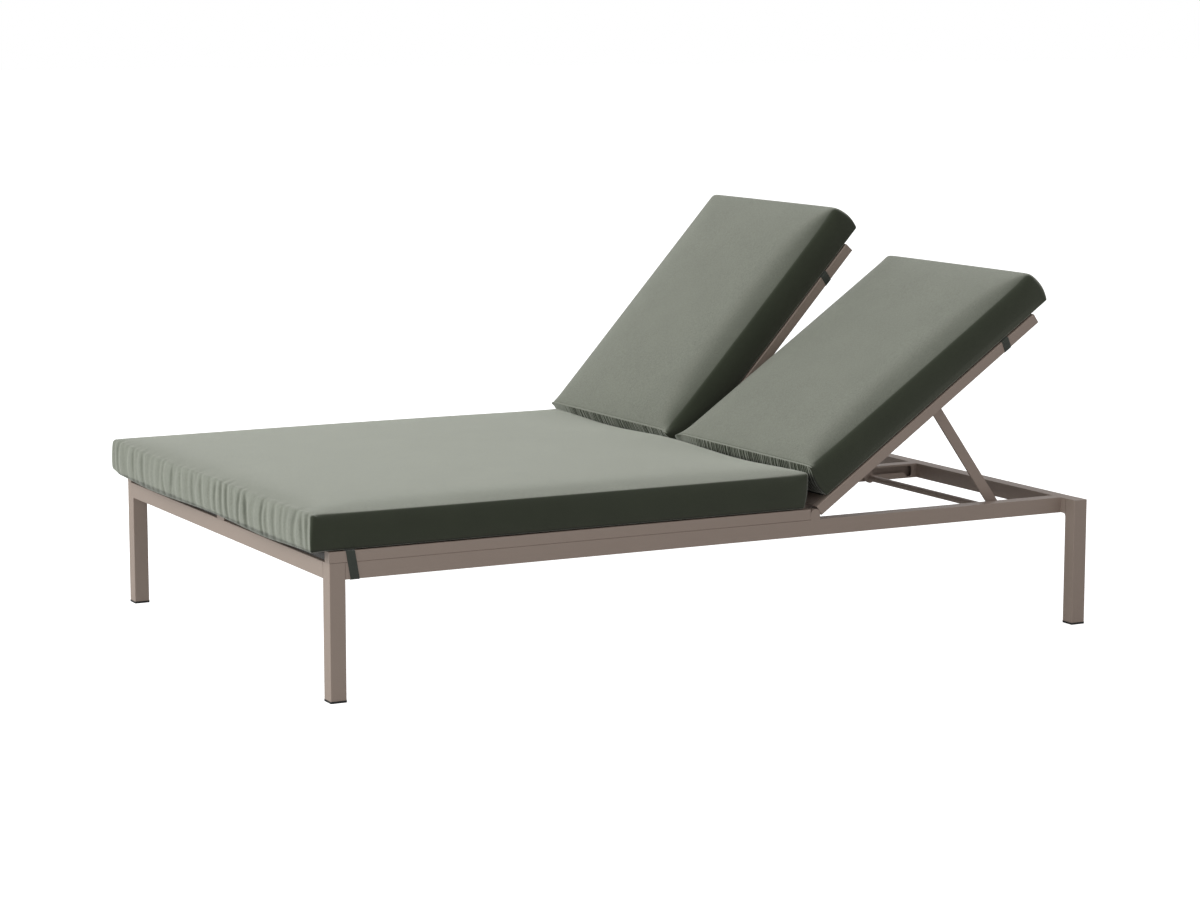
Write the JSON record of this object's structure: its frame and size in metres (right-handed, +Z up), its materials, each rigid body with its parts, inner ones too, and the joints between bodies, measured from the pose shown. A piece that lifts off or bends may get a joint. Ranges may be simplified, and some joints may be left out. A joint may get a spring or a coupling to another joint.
{
  "type": "double chaise lounger",
  "caption": "Low double sun lounger: square-tube frame, one wide seat cushion and a pair of hinged backrests, each with a prop bar that drops into rack notches.",
  "frame": {"origin": "centre of the object's bounding box in plan, on the floor", "axes": "+X from the foot end towards the backrests, +Y across to the right-hand backrest as the user lies, +Z up"},
  "size_m": [1.9996, 1.3932, 0.9737],
  "materials": {
    "frame_paint": "matt taupe powder coat on square tube",
    "cushion_fabric": "fine plain weave outdoor fabric, sage green",
    "sling_fabric": "woven mesh sling, dark taupe",
    "strap_elastic": "dark green elastic webbing",
    "taupe_plastic": "moulded, in the colour of the frame",
    "black_plastic": "moulded, matt black",
    "buffer_rubber": "moulded rubber dome",
    "steel_fastener": "stainless, turned"
  },
  "bodies": {
    "base": {"centre_rail": "frame_paint", "foot_end_rail": "frame_paint", "head_end_rail": "frame_paint", "centre_seat_tube": "frame_paint", "seat_foot_bars": "frame_paint", "seat_tube_end_plugs": "taupe_plastic", "hinge_pins": "steel_fastener", "seat_frame_screws": "steel_fastener", "seat_cushion": "cushion_fabric", "leg_caps": "black_plastic", "left_foot_leg": "frame_paint", "left_head_leg": "frame_paint", "left_side_rail": "frame_paint", "left_seat_tube": "frame_paint", "left_seat_end_bar": "frame_paint", "left_seat_middle_bar": "frame_paint", "left_seat_sling": "sling_fabric", "left_seat_strap": "strap_elastic", "left_outer_hinge_lug": "frame_paint", "left_inner_hinge_lug": "frame_paint", "left_head_buffer": "buffer_rubber", "right_foot_leg": "frame_paint", "right_head_leg": "frame_paint", "right_side_rail": "frame_paint", "right_seat_tube": "frame_paint", "right_seat_end_bar": "frame_paint", "right_seat_middle_bar": "frame_paint", "right_seat_sling": "sling_fabric", "right_seat_strap": "strap_elastic", "right_outer_hinge_lug": "frame_paint", "right_inner_hinge_lug": "frame_paint", "right_head_buffer": "buffer_rubber"},
    "left_backrest": {"left_back_inner_tube": "frame_paint", "left_back_outer_tube": "frame_paint", "left_back_lower_crossbar": "frame_paint", "left_back_upper_crossbar": "frame_paint", "left_back_sling": "sling_fabric", "left_back_inner_hinge_tongue": "frame_paint", "left_back_outer_hinge_tongue": "frame_paint", "left_back_prop_pivots": "steel_fastener", "left_back_end_plugs": "taupe_plastic", "left_back_cushion": "cushion_fabric", "left_back_straps": "strap_elastic"},
    "left_prop": {"left_prop_inner_strut": "frame_paint", "left_prop_outer_strut": "frame_paint", "left_prop_cross_bar": "frame_paint"},
    "right_backrest": {"right_back_inner_tube": "frame_paint", "right_back_outer_tube": "frame_paint", "right_back_lower_crossbar": "frame_paint", "right_back_upper_crossbar": "frame_paint", "right_back_sling": "sling_fabric", "right_back_inner_hinge_tongue": "frame_paint", "right_back_outer_hinge_tongue": "frame_paint", "right_back_prop_pivots": "steel_fastener", "right_back_end_plugs": "taupe_plastic", "right_back_cushion": "cushion_fabric", "right_back_straps": "strap_elastic"},
    "right_prop": {"right_prop_inner_strut": "frame_paint", "right_prop_outer_strut": "frame_paint", "right_prop_cross_bar": "frame_paint"}
  },
  "joints": [
    {"name": "left_backrest_hinge", "type": "hinge", "parent": "base", "child": "left_backrest", "pos_m": [0.25825, 0, 0.3175], "axis": [0, -1, 0], "range_deg": [-13.8, 13.1]},
    {"name": "left_prop_pivot", "type": "hinge", "parent": "left_backrest", "child": "left_prop", "pos_m": [0.60402, 0, 0.55417], "axis": [0, -1, 0], "range_deg": [-33.2, 35]},
    {"name": "right_backrest_hinge", "type": "hinge", "parent": "base", "child": "right_backrest", "pos_m": [0.25825, 0, 0.3175], "axis": [0, -1, 0], "range_deg": [-26.9, 0]},
    {"name": "right_prop_pivot", "type": "hinge", "parent": "right_backrest", "child": "right_prop", "pos_m": [0.54139, 0, 0.62638], "axis": [0, -1, 0], "range_deg": [0, 81.7]}
  ],
  "couplings": [
    {"joint": "left_prop_pivot", "follows": "left_backrest_hinge", "ratio": -2.534},
    {"joint": "right_prop_pivot", "follows": "right_backrest_hinge", "ratio": -3.036}
  ]
}
